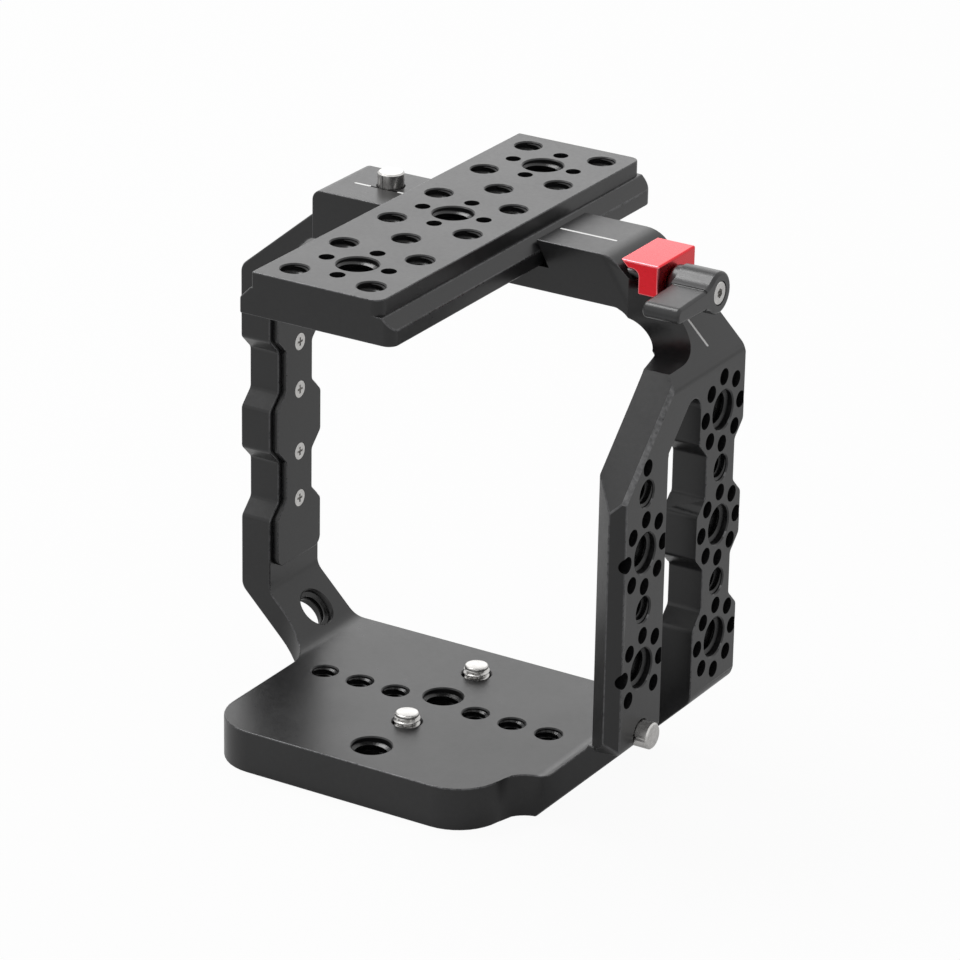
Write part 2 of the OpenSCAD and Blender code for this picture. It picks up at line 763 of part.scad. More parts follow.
// Lever: steel insert on the stud, plastic handle with a spring and a screw
hub_r = 4.5;
hub_end_r = 5;
collar_len = 2.9;
insert_teeth = 12;
tooth_r = 3.5;
root_r = 2.9;
tooth_len = 1.8;
insert_gap = 0.05;
insert_step = 4.7;
insert_neck_r = 1.9;
insert_tail = 10.1;
web_from = 5;
web_to = 5.9;
handle_gap = 0.3;
screw_shank_r = 1.25;
// The insert's bore leaves room for the stud's end as the jaw closes
insert_bore = clamp_stud_to - jaw_out + jaw_travel + handle_gap;
lever_screw_r = 2.7;
lever_screw_h = 1.6;
lever_screw_bore_r = 2.85;
module at_lever() { on_base() translate([jaw_out, lever_y, lever_z]) rotate([0, 90, 0]) children(); }

// A round body with teeth: an even number of flat-topped teeth between two radii
module toothed(root, tip, z0, z1) {
  translate([0, 0, z0]) {
    cylinder(r = root, h = z1 - z0);
    intersection() {
      cylinder(r = tip, h = z1 - z0);
      for (i = [0:insert_teeth / 2 - 1]) rotate(i * 360 / insert_teeth)
        translate([-tip - over, -root * tooth_share, 0])
          cube([2 * (tip + over), 2 * root * tooth_share, z1 - z0]);
    }
  }
}
tooth_share = 0.14;

module lever_insert() {
  color("silver") at_lever() difference() {
    union() {
      toothed(root_r, tooth_r, handle_gap, handle_gap + tooth_len);
      translate([0, 0, insert_gap]) cylinder(r = root_r, h = insert_step - insert_gap);
      cylinder_between(insert_neck_r, insert_step, insert_tail);
    }
    translate([0, 0, -over]) cylinder(r = clamp_stud_d / 2 + slide_gap, h = insert_bore + over);
    cylinder_between(screw_shank_r + seat_gap, insert_bore - over, insert_tail + over);
  }
}
module cylinder_between(r, z0, z1) { translate([0, 0, z0]) cylinder(r = r, h = z1 - z0); }

// Side view of the lever's arm, which points to -Y at rest: local x is down
arm_tip_r = 1.9;
arm_root_half = 2.6;
arm_neck_r = 6;
lever_width = 9.3;
function arm_shape() = [
  [-arm_root_half, -hub_end_r * neck_share],
  [-arm_tip_r, arm_tip_r - lever_reach],
  [arm_tip_r, arm_tip_r - lever_reach],
  [arm_root_half, -hub_end_r * neck_share]];
neck_share = 0.5;
module handle_bore() {
  toothed(root_r + slide_gap, tooth_r + slide_gap, handle_gap - over, handle_gap + tooth_len + slide_gap);
  cylinder_between(root_r + slide_gap, handle_gap - over, web_from);
  cylinder_between(insert_neck_r + slide_gap * 2, 0, lever_len);
  cylinder_between(lever_screw_bore_r, web_to, lever_len + over);
}
module neck_fillet(side) {
  // The hub runs into the arm over a hollow of radius arm_neck_r
  centre_x = side * (arm_root_half + arm_neck_r);
  centre_y = -sqrt(pow(hub_end_r + arm_neck_r, 2) - pow(centre_x, 2));
  difference() {
    polygon([
      [0, 0],
      hub_end_r * unit([centre_x, centre_y]),
      [side * arm_root_half, centre_y],
      [0, centre_y]]);
    translate([centre_x, centre_y]) circle(arm_neck_r);
  }
}
module lever_handle() {
  color("black") at_lever() difference() {
    union() {
      cylinder_between(hub_r, handle_gap, lever_len);
      translate([0, 0, lever_len - lever_width]) linear_extrude(lever_width) {
        circle(hub_end_r);
        polygon(arm_shape());
        translate([0, arm_tip_r - lever_reach]) circle(arm_tip_r);
        for (side = [-1, 1]) neck_fillet(side);
      }
    }
    handle_bore();
  }
}

// Retaining screw with a six-lobed socket
socket_r = 1.15;
socket_lobe_r = 0.42;
socket_depth = 1.1;
module lever_screw() {
  head_from = lever_len - lever_screw_h - head_sink;
  color("silver") at_lever() difference() {
    union() {
      cylinder_between(lever_screw_r, head_from, lever_len - head_sink);
      cylinder_between(screw_shank_r, insert_bore + seat_gap, head_from);
    }
    cylinder_between(socket_r - socket_lobe_r, lever_len - head_sink - socket_depth, lever_len);
    for (i = [0:5]) rotate(i * 60) translate([socket_r - socket_lobe_r, 0, 0])
      cylinder_between(socket_lobe_r, lever_len - head_sink - socket_depth, lever_len);
  }
}
head_sink = 0.1;

// Compression spring between the handle's web and the screw's head
spring_r = 2.34;
spring_wire_r = 0.21;
spring_turns = 4;
spring_steps = 20;
spring_sides = 6;
module lever_spring() {
  z0 = web_to + spring_wire_r + seat_gap;
  z1 = lever_len - lever_screw_h - head_sink - spring_wire_r - seat_gap;
  n = spring_turns * spring_steps;
  points = [for (i = [0:n], k = [0:spring_sides - 1])
    let (a = i * 360 / spring_steps, b = k * 360 / spring_sides, r = spring_r + spring_wire_r * cos(b))
    [r * cos(a), r * sin(a), z0 + (z1 - z0) * i / n + spring_wire_r * sin(b)]];
  sides = [for (i = [0:n - 1], k = [0:spring_sides - 1])
    let (p = i * spring_sides + k, q = i * spring_sides + (k + 1) % spring_sides)
    each [[p, q, p + spring_sides], [q, q + spring_sides, p + spring_sides]]];
  caps = [[for (k = [spring_sides - 1:-1:0]) k], [for (k = [0:spring_sides - 1]) n * spring_sides + k]];
  color("silver") at_lever() polyhedron(points, concat(sides, caps));
}

// Captive camera screw, drawn in its lowered place
slot_w = 1.6;
slot_depth = 1.2;
tip_neck = 0.9;
tip_d = 5.6;
shank_d = small_d;
module camera_screw(y) {
  translate([0, y, 0]) difference() {
    union() {
      cylinder_between(screw_head_d / 2, head_z, head_z + screw_head_h);
      cylinder_between(shank_d / 2, head_z, screw_tip - tip_neck);
      cylinder_between(tip_d / 2, head_z, screw_tip);
    }
    translate([-screw_head_d, -slot_w / 2, head_z - over])
      cube([screw_head_d * 2, slot_w, slot_depth + over]);
  }
}
module front_camera_screw() { color("silver") on_base() camera_screw(-front_screw_y); }
module rear_camera_screw() { color("silver") on_base() camera_screw(rear_screw_y); }

module screw_washer(y) {
  translate([0, y, head_z + screw_head_h + seat_gap]) difference() {
    cylinder(d = washer_d, h = washer_h - seat_gap);
    translate([0, 0, -over]) cylinder(d = shank_d + 2 * slide_gap, h = washer_h + 2 * over);
  }
}
module front_screw_washer() { color("white") on_base() screw_washer(-front_screw_y); }
module rear_screw_washer() { color("white") on_base() screw_washer(rear_screw_y); }

// Internal retaining ring: an open ring in the groove of the screw's bore
ring_mouth = 3;
module screw_ring(y) {
  translate([0, y, ring_z + seat_gap]) difference() {
    cylinder(d = screw_bore_d + screw_ring_wire - 2 * seat_gap, h = screw_ring_h - 2 * seat_gap);
    translate([0, 0, -over]) cylinder(d = screw_head_d - screw_ring_wire, h = screw_ring_h + 2 * over);
    translate([0, -ring_mouth / 2, -over]) cube([screw_bore_d, ring_mouth, screw_ring_h + 2 * over]);
  }
}
module front_screw_ring() { color("gray") on_base() screw_ring(-front_screw_y); }
module rear_screw_ring() { color("gray") on_base() screw_ring(rear_screw_y); }

cage_frame();
top_plate();
plate_lock_screws();
arm_cover();
arm_cover_screws();
top_stud();
side_stud();
film_plane_marks();
clamp_stud();
jaw_guide_pins();
clamp_jaw();
lever_insert();
lever_handle();
lever_screw();
lever_spring();
front_camera_screw();
rear_camera_screw();
front_screw_washer();
rear_screw_washer();
front_screw_ring();
rear_screw_ring();
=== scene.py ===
"""A camera cage with its top plate, thumb lever, clamp jaw and camera screws, on a plain pale floor.

Everything is in metres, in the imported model's own frame: +X is the side with the drilled plate,
-Y is the front, and the base plate stands on z = 0.
"""

import math

import bmesh
import bpy
import numpy as np
from mathutils import Matrix, Vector


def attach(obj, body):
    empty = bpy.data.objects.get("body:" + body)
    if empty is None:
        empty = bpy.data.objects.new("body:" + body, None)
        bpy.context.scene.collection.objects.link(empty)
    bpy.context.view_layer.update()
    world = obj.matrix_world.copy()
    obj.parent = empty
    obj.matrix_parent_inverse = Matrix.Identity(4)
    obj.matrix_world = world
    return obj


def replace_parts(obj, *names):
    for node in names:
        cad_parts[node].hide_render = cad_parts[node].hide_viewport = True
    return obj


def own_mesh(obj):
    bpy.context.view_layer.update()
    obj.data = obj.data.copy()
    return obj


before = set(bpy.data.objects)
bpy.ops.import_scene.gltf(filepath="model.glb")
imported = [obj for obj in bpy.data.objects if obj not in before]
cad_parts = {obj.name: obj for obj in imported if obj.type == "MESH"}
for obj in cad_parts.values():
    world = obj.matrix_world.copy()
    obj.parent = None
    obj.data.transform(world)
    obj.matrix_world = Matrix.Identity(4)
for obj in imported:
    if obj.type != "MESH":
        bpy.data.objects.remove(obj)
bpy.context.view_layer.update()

# ---------------------------------------------------------------------------------------
# Cage frame: one ring of aluminium, milled on all sides and drilled for accessories.
# It is blasted with fine beads and then anodised black. Its outer edges are broken by a
# small bevel, painted in a lighter black: a painted highlight for the shine along the edges.
# ---------------------------------------------------------------------------------------
SEAT = 0.0106          # top of the base plate, where the camera stands
BAR_TOP = 0.128        # top of the crossbar
SIDE_X = 0.0625        # outer face of the drilled side plate
WINDOW_Y = -0.0076     # front wall of the side plate's window
SIDE_REAR_Y = 0.0275   # rear face of the side plate
PLATE_X = 0.00065      # middle of the top plate and of the groove it slides in
MARK_Y = 0.015         # film plane, where the white marks are
LARGE_R, LARGE_PITCH = 0.0047625, 0.0015875   # large accessory thread
SMALL_R, SMALL_PITCH = 0.003175, 0.00127      # small accessory thread
CHAMFER = 0.0003       # a thread's mouth is wider than its bore by this
PIN_RING = 0.00815     # pin holes stand on this ring round a large thread
PIN_R, PIN_DEPTH = 0.002, 0.0044              # the side plate's pin holes are blind
SLANT = math.sqrt(0.5)
UP, RIGHT, STRUT = (0, 0, 1), (1, 0, 0), (SLANT, 0, SLANT)
POST_SLOPE = (SLANT, -0.5, 0.5)               # the way the post's sloping bevel faces
SAME_PLACE = 2e-6      # corners closer than this are one corner
HAIR = 0.00001         # keeps two faces from lying in one plane


def new_material(name, numbers):
    """A material with its node tree and its shader, some of whose sockets are set to numbers."""
    material = bpy.data.materials.new(name)
    material.use_nodes = True
    shader = material.node_tree.nodes["Principled BSDF"]
    for socket, number in numbers.items():
        shader.inputs[socket].default_value = number
    return material, material.node_tree, shader


def combine(tree, operation, *terms):
    """A math node over terms that are numbers or other nodes' outputs."""
    node = tree.nodes.new("ShaderNodeMath")
    node.operation = operation
    for socket, term in zip(node.inputs, terms):
        if isinstance(term, bpy.types.NodeSocket):
            tree.links.new(term, socket)
        else:
            socket.default_value = term
    return node.outputs[0]


def noise(tree, scale, detail):
    """A noise that runs through the piece in its own coordinates."""
    place = tree.nodes.new("ShaderNodeTexCoord")
    field = tree.nodes.new("ShaderNodeTexNoise")
    field.inputs["Scale"].default_value = scale
    field.inputs["Detail"].default_value = detail
    tree.links.new(place.outputs["Object"], field.inputs["Vector"])
    return field.outputs["Fac"]


def wander(tree, shader, field, stops, colours, reach, rough):
    """Colour and gloss follow a noise: the colour goes from the first to the second between
    two stops of the noise, and the roughness does between the ends of its reach."""
    tones = tree.nodes.new("ShaderNodeValToRGB")
    for element, stop, colour in zip(tones.color_ramp.elements, stops, colours):
        element.position = stop
        element.color = (*colour, 1)
    tree.links.new(field, tones.inputs["Fac"])
    tree.links.new(tones.outputs["Color"], shader.inputs["Base Color"])
    gloss = tree.nodes.new("ShaderNodeMapRange")
    for socket, number in zip(("From Min", "From Max", "To Min", "To Max"), (*reach, *rough)):
        gloss.inputs[socket].default_value = number
    tree.links.new(field, gloss.inputs["Value"])
    tree.links.new(gloss.outputs["Result"], shader.inputs["Roughness"])


def raise_grain(tree, shader, field, strength, depth):
    """A noise is felt as relief of this depth."""
    relief = tree.nodes.new("ShaderNodeBump")
    relief.inputs["Strength"].default_value = strength
    relief.inputs["Distance"].default_value = depth
    tree.links.new(field, relief.inputs["Height"])
    tree.links.new(relief.outputs["Normal"], shader.inputs["Normal"])


def anodised(name, colour, second, metallic, rough, grain_depth, ior=1.5, coat=0.0, grain=3400.0):
    """A blasted and dyed metal skin: two close tones wander over each other, the gloss
    wanders with them, and a fine noise a quarter of a millimetre wide raises the grain."""
    material, tree, shader = new_material(name, {
        "Metallic": metallic, "IOR": ior, "Coat Weight": coat, "Coat Roughness": rough[0] * 0.8})
    cloud, specks, beads = noise(tree, 60.0, 4.0), noise(tree, 900.0, 3.0), noise(tree, grain, 2.0)
    both = combine(tree, "MULTIPLY_ADD", specks, 0.55, combine(tree, "MULTIPLY", cloud, 0.45))
    wander(tree, shader, both, (0.35, 0.65), (colour, second), (0.3, 0.7), rough)
    raise_grain(tree, shader, beads, 0.5, grain_depth)
    return material


black_anodised = anodised("black_anodised", (0.0075, 0.0075, 0.008), (0.0115, 0.0115, 0.012),
                          0.0, (0.27, 0.37), 2.6e-5)
# Painted highlight: the bevel strips get this lighter black, standing in for the shine of the edges.
black_painted_highlight_edge = anodised("black_anodised_painted_highlight_edge", (0.04, 0.04, 0.041), (0.11, 0.11, 0.113),
                      0.6, (0.22, 0.34), 3.0e-5)
# Painted highlight: faces turned the way of the post's sloping bevel get this lighter black.
painted_highlight_face = anodised("black_anodised_painted_highlight_face", (0.05, 0.05, 0.051), (0.17, 0.17, 0.173),
                       0.6, (0.25, 0.38), 6.0e-5, grain=2400.0)


def add_piece(name, mesh, body, slot, *finishes):
    """Puts a finished mesh into the scene at the origin, on its body and with its finishes."""
    piece = bpy.data.objects.new(name, mesh)
    bpy.context.scene.collection.objects.link(piece)
    for finish in finishes:
        mesh.materials.append(finish)
    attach(piece, body)
    return piece


def near_holes(middles, holes):
    """True for the edges whose middle lies on a hole's rim: closer to the hole's axis than
    its radius and half a millimetre more. A hole with a depth is blind: past four fifths of
    it, only the edges well inside its bore count."""
    found = np.zeros(len(middles), bool)
    for centre, axis, radius, *depth in holes:
        away = middles - np.array(centre)
        along = away @ np.array(axis)
        apart = np.linalg.norm(away - along[:, None] * np.array(axis), axis=1)
        close = apart < radius + 0.0005
        if depth:
            close &= (np.abs(along) < 0.8 * depth[0]) | (apart < radius - 0.0003)
        found |= close
    return found


def machined(node, name, body, slot, finish, edge_finish, width, steps=2, holes=(), spare=None,
             welds=(), bright=None):
    """A milled piece from its CAD node: the node's loose triangles are merged, flat neighbours
    become one face, and each outer edge away from the holes gets a small bevel in the edge
    finish. Corners crowded at a weld's place become one, and faces that look the bright way
    get the lighter third finish, a painted highlight."""
    flat, crisp, outer = (math.radians(angle) for angle in (0.4, 12, 22))
    shape = bmesh.new()
    shape.from_mesh(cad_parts[node].data)
    bmesh.ops.remove_doubles(shape, verts=shape.verts, dist=SAME_PLACE)
    for place, reach in welds:
        crowd = [v for v in shape.verts if (v.co - Vector(place)).length < reach]
        bmesh.ops.pointmerge(shape, verts=crowd, merge_co=Vector(place))
    bmesh.ops.dissolve_limit(shape, angle_limit=flat, verts=shape.verts, edges=shape.edges)
    turns = np.array([edge.calc_face_angle_signed(0.0) for edge in shape.edges])
    kept = np.zeros(len(turns), bool)
    # Faces turned the bright way take the third finish, a painted highlight, and their edges get no
    # bevel.
    if bright is not None:
        shape.normal_update()
        for face in shape.faces:
            if face.normal.dot(Vector(bright)) > 0.995:
                face.material_index = 2
        kept = np.array([any(face.material_index for face in edge.link_faces) for edge in shape.edges])
    mesh = bpy.data.meshes.new(name)
    shape.to_mesh(mesh)
    shape.free()
    points = np.empty(len(mesh.vertices) * 3)
    mesh.vertices.foreach_get("co", points)
    ends = np.empty(len(mesh.edges) * 2, int)
    mesh.edges.foreach_get("vertices", ends)
    middles = points.reshape(-1, 3)[ends.reshape(-1, 2)].mean(axis=1)
    broken = (turns > outer) & ~kept & ~near_holes(middles, holes)
    if spare is not None:
        broken &= ~spare(middles)
    weights = mesh.attributes.new("bevel_weight_edge", "FLOAT", "EDGE")
    weights.data.foreach_set("value", broken.astype(np.float32))
    mesh.shade_smooth()
    sharp = mesh.attributes.get("sharp_edge") or mesh.attributes.new("sharp_edge", "BOOLEAN", "EDGE")
    sharp.data.foreach_set("value", (np.abs(turns) > crisp) & ~broken)
    finishes = [finish, edge_finish] + ([painted_highlight_face] if bright is not None else [])
    piece = add_piece(name, mesh, body, slot, *finishes)
    bevel = piece.modifiers.new("broken edges", "BEVEL")
    bevel.limit_method = "WEIGHT"
    bevel.width = width
    bevel.segments = steps
    # The bevel strips take the edge finish, which on most pieces is a lighter painted highlight.
    bevel.material = 1
    bevel.use_clamp_overlap = False
    bevel.loop_slide = False
    soft = piece.modifiers.new("even shading", "WEIGHTED_NORMAL")
    soft.keep_sharp = True
    soft.weight = 50
    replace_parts(piece, node)


REAR_Z = SEAT + 0.05305    # middle rosette of the rear column
FRONT_Z = SEAT + 0.0302    # lower rosette of the front column
REAR_Y, FRONT_Y, STEP = 0.0176, -0.0168, 0.02835    # the two columns, and from rosette to rosette
FRONT_SCREW_Y, REAR_SCREW_Y = -0.0161, 0.0151       # camera screws
LEVER_AXIS = (0.0513, 0.0127, 0.122)
TOP_STUD, SIDE_STUD = (-0.02743, 0.018, BAR_TOP), (SIDE_X, -0.0162, 0.0244)
side_large = [(SIDE_X, REAR_Y, REAR_Z + i * STEP) for i in (-1, 0, 1)]
side_large += [(SIDE_X, FRONT_Y, FRONT_Z + i * STEP) for i in (0, 1)]
side_small = [(SIDE_X, REAR_Y, REAR_Z + i * STEP) for i in (-0.5, 0.5)]
side_small += [(SIDE_X, FRONT_Y, FRONT_Z + i * STEP) for i in (0.508, 1.508)]
base_large = [(0, 0, SEAT), (0, -0.0315, SEAT)]
base_small = [(side * x, -0.0036, SEAT) for side in (-1, 1) for x in (0.01115, 0.02115, 0.03115)]
strut_large = (-0.0472, 0.0174, SEAT + 0.0049)
side_pins = [(x, y + PIN_RING * math.cos(a), z + PIN_RING * math.sin(a))
             for x, y, z in side_large for a in np.arange(8) * math.pi / 4]
side_pins.append((SIDE_X, FRONT_Y, SEAT + 0.079202))
guide_pins = [(0.05, y, 0.1241) for y in (0.0082, 0.0194)]
lock_screws = [(PLATE_X + side * 0.013, 0.0165, 0) for side in (-1, 1)]

frame_holes = [(p, RIGHT, LARGE_R + CHAMFER) for p in side_large]
frame_holes += [(p, RIGHT, SMALL_R + CHAMFER) for p in side_small]
frame_holes += [(p, RIGHT, PIN_R, PIN_DEPTH) for p in side_pins]
frame_holes += [(p, UP, LARGE_R + CHAMFER) for p in base_large]
frame_holes += [(p, UP, SMALL_R + CHAMFER) for p in base_small]
frame_holes += [(strut_large, STRUT, LARGE_R + CHAMFER)]
frame_holes += [((0, y, 0), UP, 0.0068) for y in (FRONT_SCREW_Y, REAR_SCREW_Y)]
frame_holes += [(TOP_STUD, UP, 0.00345), (SIDE_STUD, RIGHT, 0.00345), (LEVER_AXIS, RIGHT, 0.0022)]
frame_holes += [(p, UP, 0.0026) for p in lock_screws]
frame_holes += [(p, RIGHT, 0.0012) for p in guide_pins]


def stay_crisp(middles):
    """True for the rims of the shallow grooves that hold the white marks, for the dovetail
    groove's lips, for the finger scoop's rolled rim, for the narrow face in the middle of the
    window, and for the plate's rear edge and window where pin holes run into them."""
    x, y, z = middles.T
    marks = (np.abs(y - MARK_Y) < 0.0006) & (z > 0.104)
    groove = (np.abs(x - PLATE_X) < 0.0226) & (z > 0.1215)
    scoop = (np.abs(x - 0.055) < 0.0135) & (y < 0.0135) & (z > 0.1035) & (x < SIDE_X - 0.0001)
    narrow = (x > 0.052) & (y > 0) & (y < 0.0105) & (np.abs(z - REAR_Z) < 0.0085)
    rear = (x > SIDE_X - 0.0001) & (y > 0.0234)
    window = (x > SIDE_X - 0.0001) & (np.abs(y - WINDOW_Y) < 0.0002)
    return marks | groove | scoop | narrow | rear | window


# On the ring, the faces of the post's sloping bevel get a painted highlight, and so do the bevel
# strips.
machined("cage_frame", "cage_ring", "frame", "black_anodised", black_anodised, black_painted_highlight_edge,
         0.0003, holes=frame_holes, spare=stay_crisp, bright=POST_SLOPE,
         welds=[((0.0343, -0.0302, z), 0.0011) for z in (0, SEAT)])


def mesh_from(name, points, faces):
    """A mesh of arrays of points, one after the other, and the faces over them."""
    mesh = bpy.data.meshes.new(name)
    mesh.from_pydata(np.concatenate(points).tolist(), [], faces)
    return mesh


def tube_faces(rows, columns, start):
    """Quads of a tube of closed sections, rows of them along its way, and its two end caps."""
    i, j = np.meshgrid(np.arange(rows - 1), np.arange(columns), indexing="ij")
    k = (j + 1) % columns
    quads = start + np.stack([i * columns + j, i * columns + k, (i + 1) * columns + k,
                              (i + 1) * columns + j], -1).reshape(-1, 4)
    caps = start + np.stack([np.arange(columns)[::-1], (rows - 1) * columns + np.arange(columns)])
    return quads.tolist() + caps.tolist()


def wound(start, axis, angle, r, h):
    """Points of a right-handed winding: at each angle, a section of radii r and heights h.
    The angle counts from a line square to the axis and, where that can be, to Y."""
    axis = np.array(axis, float)
    first = np.cross(axis, (0, 1, 0) if abs(axis[1]) < 0.9 else (1, 0, 0))
    first /= np.linalg.norm(first)
    second = np.cross(axis, first)
    ring = (r * np.cos(angle))[..., None] * first + (r * np.sin(angle))[..., None] * second
    return (ring + h[..., None] * axis + np.array(start)).reshape(-1, 3)


def thread_ridges(name, threads, body, slot, finish):
    """Internal threads. With t from 0 to 1 along it, each ridge turns by 2 pi depth / pitch t,
    climbs by depth t and is a trapezoid 0.86 pitch wide at the wall, 0.24 pitch wide at its
    crest and 0.56 pitch high. Over half a turn at each end it grows from the wall."""
    points, faces = [], []
    sunk = 0.00006
    for mouth, axis, radius, pitch, depth in threads:
        turns = depth / pitch
        t = np.linspace(0, 1, int(40 * turns) + 1)[:, None]
        grown = np.clip(np.minimum(t, 1 - t) * turns / 0.5, 0.02, 1)
        crest = radius + sunk - grown * (0.56 * pitch + sunk)
        wall = np.full_like(t, radius + sunk + 2 * HAIR)
        r = np.concatenate([wall, crest, crest, wall], 1)
        h = -depth * (1 - t) + pitch * np.array([[-0.43, -0.12, 0.12, 0.43]])
        faces += tube_faces(len(t), 4, sum(len(p) for p in points))
        points.append(wound(mouth, axis, 2 * math.pi * turns * t, r, h))
    add_piece(name, mesh_from(name, points, faces), body, slot, finish)


def tapped(mouths, axis, radius, pitch, depth):
    """One thread for each mouth. Its ridge starts under the mouth's chamfer and ends as far
    before the bore's other end."""
    inset = 0.45 * pitch + 0.0002
    return [(np.array(mouth) - inset * np.array(axis), axis, radius, pitch, depth - 2 * inset)
            for mouth in mouths]


# Painted shade: the thread ridges down in the holes get a darker black than the ring around them.
thread_painted_shade = anodised("black_anodised_thread_painted_shade", (0.004, 0.004, 0.0042), (0.007, 0.007, 0.0072),
                        0.0, (0.2, 0.3), 1.0e-5)
thread_ridges("side_plate_threads",
              tapped(side_large, RIGHT, LARGE_R, LARGE_PITCH, 0.009)
              + tapped(side_small, RIGHT, SMALL_R, SMALL_PITCH, 0.009),
              "frame", "black_anodised", thread_painted_shade)
thread_ridges("base_plate_threads",
              tapped(base_large, UP, LARGE_R, LARGE_PITCH, SEAT)
              + tapped(base_small, UP, SMALL_R, SMALL_PITCH, SEAT),
              "frame", "black_anodised", thread_painted_shade)
thread_ridges("strut_thread", tapped([strut_large], STRUT, LARGE_R, LARGE_PITCH, 0.0058),
              "frame", "black_anodised", thread_painted_shade)


def pin_webs(name, places, finish):
    """Where a pin hole runs up to a wall of the side plate, a skin a tenth of a millimetre
    thick is left: a flat bar across the hole's open side, as long as the hole is deep."""
    points, faces = [], []
    for wall, z, half in places:
        inner, outer = wall - 0.0001, wall - HAIR
        skin = np.array([[inner, z - half], [outer, z - half], [outer, z + half], [inner, z + half]])
        faces += tube_faces(2, 4, 4 * len(points))
        points += [np.insert(skin, 0, x, axis=1) for x in (SIDE_X - PIN_DEPTH, SIDE_X - 2 * HAIR)]
    add_piece(name, mesh_from(name, points, faces), "frame", "black_anodised", finish)


pin_webs("pin_hole_webs",
         [(WINDOW_Y, FRONT_Z + i * STEP, 0.00175) for i in (0, 1)]
         + [(SIDE_REAR_Y, REAR_Z + i * STEP, 0.00105) for i in (-1, 0, 1)], black_anodised)

# ---------------------------------------------------------------------------------------
# Arm cover: a thin plate milled to the left arm's outline and screwed to its inner face
# with four countersunk cross-recess screws of stainless steel.
# ---------------------------------------------------------------------------------------
COVER_X, COVER_SCREW_Y = -0.052, 0.0171
cover_screws = [(COVER_X, COVER_SCREW_Y, REAR_Z + side * rise)
                for side in (-1, 1) for rise in (0.00805, 0.0203)]
cover_black = anodised("black_anodised_cover", (0.009, 0.009, 0.0095), (0.014, 0.014, 0.0145),
                       0.0, (0.28, 0.38), 2.2e-5, ior=1.47)
machined("arm_cover", "arm_cover_plate", "frame", "black_anodised", cover_black, black_painted_highlight_edge,
         0.0002, holes=[(p, RIGHT, 0.0023) for p in cover_screws])


def steel(name, colour, rough, metallic=1.0):
    """Bare turned steel: a tight noise gives its tone, its gloss and, a little, its relief."""
    material, tree, shader = new_material(name, {"Metallic": metallic})
    marks = noise(tree, 900.0, 4.0)
    wander(tree, shader, marks, (0.3, 0.7), ([c * 0.82 for c in colour], colour), (0.0, 1.0), rough)
    raise_grain(tree, shader, marks, 0.4, 4.0e-6)
    return material


bright_steel = steel("bright_steel", (0.62, 0.61, 0.595), (0.2, 0.38))
# Painted highlight: the steel screws' bevel strips get this lighter steel.
steel_painted_highlight_edge = steel("bright_steel_painted_highlight_edge", (0.85, 0.84, 0.82), (0.14, 0.26))
machined("arm_cover_screws", "cover_screws", "frame", "bright_steel", bright_steel, steel_painted_highlight_edge,
         0.00006, holes=[(p, RIGHT, 0.0007) for p in cover_screws])

# ---------------------------------------------------------------------------------------
# Top plate: an aluminium bar that slides in the crossbar's dovetail groove, drilled and
# tapped right through, with its corners rounded. Blasted and anodised like the ring.
# ---------------------------------------------------------------------------------------
PLATE_TOP, PLATE_T = 0.1322, 0.0103    # its top, and how thick it is with its flange
plate_large = [(PLATE_X, y, PLATE_TOP) for y in (-0.04, 0, 0.04)]
plate_small = [(PLATE_X + side * 0.01, y, PLATE_TOP) for side in (-1, 1)
               for y in (-0.05, -0.03, -0.01, 0.01, 0.03, 0.05)]
plate_small += [(PLATE_X, y, PLATE_TOP) for y in (-0.02, 0.02)]
plate_pins = [(x + PIN_RING * a, y + PIN_RING * b, z) for x, y, z in plate_large
              for a, b in ((1, 0), (0, 1), (-1, 0), (0, -1))]
plate_holes = [(p, UP, LARGE_R + CHAMFER) for p in plate_large]
plate_holes += [(p, UP, SMALL_R + CHAMFER) for p in plate_small]
plate_holes += [(p, UP, 0.0018) for p in plate_pins]
machined("top_plate", "sliding_top_plate", "top_plate", "black_anodised", black_anodised,
         black_painted_highlight_edge, 0.0003, holes=plate_holes)
thread_ridges("top_plate_threads",
              tapped(plate_large, UP, LARGE_R, LARGE_PITCH, PLATE_T)
              + tapped(plate_small, UP, SMALL_R, SMALL_PITCH, PLATE_T),
              "top_plate", "black_anodised", thread_painted_shade)

# ---------------------------------------------------------------------------------------
# Lock screws, studs and pins: turned steel pieces pressed or screwed into the ring. The
# two studs are fluted so that a round accessory foot can't turn on them.
# ---------------------------------------------------------------------------------------
# Painted shade: the clamp stud and guide pins sit in the shaded gap under the jaw's lip, and this dark
# steel stands in for that shade.
steel_painted_shade = steel("steel_painted_shade", (0.08, 0.08, 0.08), (0.3, 0.45))
black_steel = steel("black_steel", (0.035, 0.035, 0.037), (0.3, 0.5), metallic=0.6)


def dress(node, finish):
    """Gives a CAD node that is right as it stands its finish."""
    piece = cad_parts[node]
    piece.data.materials.clear()
    piece.data.materials.append(finish)


for node in ("top_stud", "side_stud"):
    dress(node, bright_steel)
# Painted shade: the stud and pins take the dark steel for the shade under the jaw's lip.
for node in ("clamp_stud", "jaw_guide_pins"):
    dress(node, steel_painted_shade)
for node in ("plate_lock_screws", "lever_insert", "front_screw_ring", "rear_screw_ring"):
    dress(node, black_steel)

# ---------------------------------------------------------------------------------------
# Film plane marks: shallow grooves cut beside the top plate and across the right shoulder,
# filled with white paint.
# ---------------------------------------------------------------------------------------
MARK_HALF, MARK_PROUD, MARK_DEEP = 0.00036, 0.00002, 0.0002    # half width, above and below the face
white_fill = anodised("white_fill", (0.86, 0.86, 0.85), (0.93, 0.93, 0.92),
                      0.0, (0.45, 0.6), 1.0e-5, grain=2000.0)


